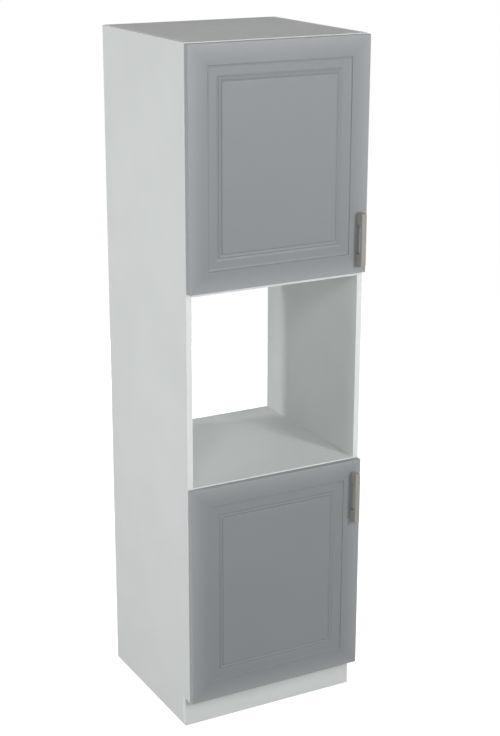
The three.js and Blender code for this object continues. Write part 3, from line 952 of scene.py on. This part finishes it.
def brushed_nickel_finish():
    """Warm satin nickel with fine lines along the bar."""
    material, tree, shader, place = start_finish("brushed_nickel", (0.375, 0.361, 0.325), 0.5, gloss=0.3)
    brushing = speckle(tree, place, scale=500.0, stretch=(1, 1, 0.03), detail=3.0)
    tint(tree, shader, brushing, dark=(0.355, 0.341, 0.305), light=(0.395, 0.381, 0.345))
    roughen(tree, shader, brushing, smooth=0.45, rough=0.58)
    emboss(tree, shader, brushing, height=0.00003, strength=0.5)
    return material


def walk(bm, vert, step):
    """A straight edge from a corner of an outline to the next."""
    new = bmesh.ops.extrude_vert_indiv(bm, verts=[vert])["verts"][0]
    bmesh.ops.translate(bm, vec=step, verts=[new])
    return new


def sweep(bm, vert, centre, angle):
    """A curved edge of a bow's outline, swept round a centre."""
    swept = bmesh.ops.spin(
        bm, geom=[vert], cent=centre, axis=(1, 0, 0), dvec=(0, 0, 0), angle=angle, steps=ARC_STEPS,
        use_merge=False,
    )
    return verts_in(swept["geom_last"])[0]


def leaning_sweep(bm, vert, centre, still_z, squeeze):
    """A quarter turn inside the bow, squeezed lengthways towards a height that stays still."""
    before = set(bm.verts)
    vert = sweep(bm, vert, centre, pi / 2)
    arc = [each for each in bm.verts if each not in before]
    bmesh.ops.scale(bm, vec=(1, 1, squeeze), space=Matrix.Translation((0, 0, -still_z)), verts=arc)
    return vert


brushed_nickel = brushed_nickel_finish()

for which in ("lower", "upper"):
    low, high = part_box(f"{which}_handle")
    bow = bmesh.new()
    lean = HANDLE_INNER + HANDLE_LEAN
    drop = high.y - low.y - HANDLE_BAR
    upper_foot_z, lower_arc_z = high.z - HANDLE_FOOT, low.z + HANDLE_FOOT + lean
    vert = first = bow.verts.new((low.x, high.y, low.z))
    vert = walk(bow, vert, (0, low.y + HANDLE_OUTER - high.y, 0))
    vert = sweep(bow, vert, (low.x, low.y + HANDLE_OUTER, low.z + HANDLE_OUTER), -pi / 2)
    vert = walk(bow, vert, (0, 0, high.z - low.z - 2 * HANDLE_OUTER))
    vert = sweep(bow, vert, (low.x, low.y + HANDLE_OUTER, high.z - HANDLE_OUTER), -pi / 2)
    vert = walk(bow, vert, (0, high.y - low.y - HANDLE_OUTER, 0))
    vert = walk(bow, vert, (0, 0, -HANDLE_FOOT))
    vert = leaning_sweep(bow, vert, (low.x, high.y, upper_foot_z - drop), upper_foot_z, lean / drop)
    vert = walk(bow, vert, (0, 0, lower_arc_z - vert.co.z))
    vert = leaning_sweep(bow, vert, (low.x, high.y, lower_arc_z), lower_arc_z, lean / drop)
    bow.edges.new((vert, first))
    outline = bmesh.ops.contextual_create(bow, geom=bow.edges[:])["faces"]
    grown = bmesh.ops.extrude_face_region(bow, geom=outline)["geom"]
    bmesh.ops.translate(bow, vec=(high.x - low.x, 0, 0), verts=verts_in(grown))
    bmesh.ops.recalc_face_normals(bow, faces=bow.faces)
    sides = [face for face in bow.faces if abs(face.normal.x) > FACING]
    ease(bow, [edge for face in sides for edge in face.edges], HANDLE_EDGE, segments=3)
    for face in bow.faces:
        face.smooth = abs(face.normal.x) < FLAT_END
    for edge in bow.edges:
        if edge.calc_face_angle(0) > BOW_CREASE:
            edge.smooth = False
    piece = make_piece(bow, f"{which}_bow_handle", brushed_nickel)
    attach(piece, f"{which}_door")
    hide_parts(f"{which}_handle")


# Handle screws: pan-head machine screws of zinc-plated steel, driven from the back of the door
# through its bored holes into the feet of the handle.

for which in ("lower", "upper"):
    for end in ("bottom", "top"):
        low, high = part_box(f"{which}_handle_screw_{end}")
        middle = (low + high) / 2
        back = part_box(f"{which}_door")[1].y + SEAT_GAP
        bolt = screw((middle.x, low.y, middle.z), (0, 1, 0), shaft=0.002, length=back - low.y,
                     head=0.0042, head_high=high.y - back, dome=0.45)
        piece = make_piece(bolt, f"{which}_handle_bolt_{end}", zinc_plate)
        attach(piece, f"{which}_door")
        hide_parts(f"{which}_handle_screw_{end}")


# Door bumpers: domes of soft clear rubber with a stem pressed into the back of the door, which quieten
# it and hold it clear of the side panel's edge.

BUMPER_STEM = 0.0024
BUMPER_STEM_END = 0.002
BUMPER_STEM_ROUND = 0.0005

# Radii of the dome, from the door up, and the share of its height that each lies at
DOME = ((0.0045, 0), (0.0044, 0.35), (0.0036, 0.72), (0.0022, 0.93), (0, 1))


def rubber_finish():
    """Soft milky rubber with a dull skin."""
    material, tree, shader, place = start_finish("clear_rubber", (0.70, 0.715, 0.72), 0.42)
    clouds = speckle(tree, place, scale=240.0)
    tint(tree, shader, clouds, dark=(0.67, 0.685, 0.69), light=(0.73, 0.745, 0.75))
    roughen(tree, shader, speckle(tree, place, scale=600.0), smooth=0.35, rough=0.5)
    return material


clear_rubber = rubber_finish()

for which in ("lower", "upper"):
    for end in ("bottom", "top"):
        low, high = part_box(f"{which}_door_bumper_{end}")
        middle = (low + high) / 2
        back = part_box(f"{which}_door")[1].y + SEAT_GAP - low.y
        rise = high.y - low.y - back
        stem = [(0, 0), (BUMPER_STEM_END, 0), (BUMPER_STEM, BUMPER_STEM_ROUND), (BUMPER_STEM, back)]
        dome = [(radius, back + rise * share) for radius, share in DOME]
        bumper = turned(stem + dome, (middle.x, low.y, middle.z), (0, 1, 0))
        piece = make_piece(bumper, f"{which}_bumper_{end}", clear_rubber)
        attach(piece, f"{which}_door")
        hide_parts(f"{which}_door_bumper_{end}")


# Studio floor: a plain pale floor that looks white to the camera, in reflections and through clear
# pieces, and keeps the unit's own soft shadow.

FLOOR_HALF = 7
FLOOR_GREY = 0.6
FLOOR_GLOW = 0.92


def seen_rays(tree):
    """1 for rays from the camera, a reflection or a clear piece, and 0 for all others."""
    path = tree.nodes.new("ShaderNodeLightPath")
    seen = path.outputs["Is Camera Ray"]
    for kind in ("Is Glossy Ray", "Is Transmission Ray"):
        either = tree.nodes.new("ShaderNodeMath")
        either.operation = "MAXIMUM"
        tree.links.new(seen, either.inputs[0])
        tree.links.new(path.outputs[kind], either.inputs[1])
        seen = either.outputs[0]
    return seen


def floor_finish():
    """Matt grey that glows white towards whatever sees it."""
    material, tree, shader, place = start_finish("pale_floor", (FLOOR_GREY,) * 3, 0.9, gloss=0.0)
    glow = tree.nodes.new("ShaderNodeMath")
    glow.operation = "MULTIPLY"
    glow.inputs[1].default_value = FLOOR_GLOW
    tree.links.new(seen_rays(tree), glow.inputs[0])
    shader.inputs["Emission Color"].default_value = (1, 1, 1, 1)
    tree.links.new(glow.outputs[0], shader.inputs["Emission Strength"])
    return material


floor_mesh = bmesh.new()
bmesh.ops.create_grid(floor_mesh, x_segments=1, y_segments=1, size=FLOOR_HALF)
studio_floor = make_piece(floor_mesh, "studio_floor", floor_finish())


# Studio light: an even surround that looks white and lights little, soft lamps in front and to the
# left, a small one behind the left side, and plain ones for the back and the right side.

SURROUND_LEVEL = 0.12

world = bpy.data.worlds.new("studio_surround")
bpy.context.scene.world = world
world.use_nodes = True
surround = world.node_tree
surround.nodes.clear()
level = surround.nodes.new("ShaderNodeMapRange")
level.inputs["To Min"].default_value = SURROUND_LEVEL
level.inputs["To Max"].default_value = 1.0
surround.links.new(seen_rays(surround), level.inputs["Value"])
background = surround.nodes.new("ShaderNodeBackground")
background.inputs["Color"].default_value = (1, 1, 1, 1)
surround.links.new(level.outputs["Result"], background.inputs["Strength"])
world_output = surround.nodes.new("ShaderNodeOutputWorld")
surround.links.new(background.outputs["Background"], world_output.inputs["Surface"])


def soft_lamp(name, place, aim, size, power):
    """A square lamp that looks at a point of the unit."""
    light = bpy.data.lights.new(name, "AREA")
    light.shape = "SQUARE"
    light.size = size
    light.energy = power
    lamp = bpy.data.objects.new(name, light)
    lamp.location = place
    lamp.rotation_euler = (Vector(aim) - Vector(place)).to_track_quat("-Z", "Y").to_euler()
    bpy.context.scene.collection.objects.link(lamp)
    return lamp


soft_lamp("front_lamp", place=(1.3, -3.55, 2.3), aim=(0, -0.27, 1.78), size=0.55, power=50)
soft_lamp("wide_front_lamp", place=(0, -3.4, 2.5), aim=(0, -0.27, 1.75), size=3.0, power=30)
soft_lamp("front_left_lamp", place=(-2.4, -3.2, 3.2), aim=(-0.3, 0, 1.1), size=0.8, power=27)
soft_lamp("left_lamp", place=(-3.85, -0.3, 1.4), aim=(-0.3, 0, 1.05), size=0.7, power=22)
soft_lamp("rear_left_lamp", place=(-4.0, 1.05, 2.6), aim=(-0.3, 0.1, 1.0), size=0.3, power=44)
rear_lamp = soft_lamp("rear_lamp", place=(0.9, 4.0, 0.45), aim=(0, 0.3, 1.1), size=0.7, power=52)
rear_lamp.visible_glossy = False
soft_lamp("right_lamp", place=(4.0, 0.6, 0.9), aim=(0.3, 0, 1.1), size=1.0, power=50)


# Camera: where the photograph was taken from, above the top of the unit and to its left, looking down
# on it a little. Heading, tilt and roll are in degrees.

LENS = 77.94
SENSOR = 36
CAMERA_PLACE = (-2.2539, -4.2470, 2.6196)
HEADING, TILT, ROLL = -28.47, 17.695, 0.166

camera_data = bpy.data.cameras.new("photo_camera")
camera_data.lens = LENS
camera_data.sensor_width = SENSOR
camera = bpy.data.objects.new("photo_camera", camera_data)
bpy.context.scene.collection.objects.link(camera)
camera.location = CAMERA_PLACE
heading = Matrix.Rotation(radians(HEADING), 3, "Z")
tilt = Matrix.Rotation(radians(90 - TILT), 3, "X")
roll = Matrix.Rotation(radians(ROLL), 3, "Z")
camera.rotation_euler = (heading @ tilt @ roll).to_euler()
bpy.context.scene.camera = camera
bpy.context.scene.view_settings.view_transform = "Standard"
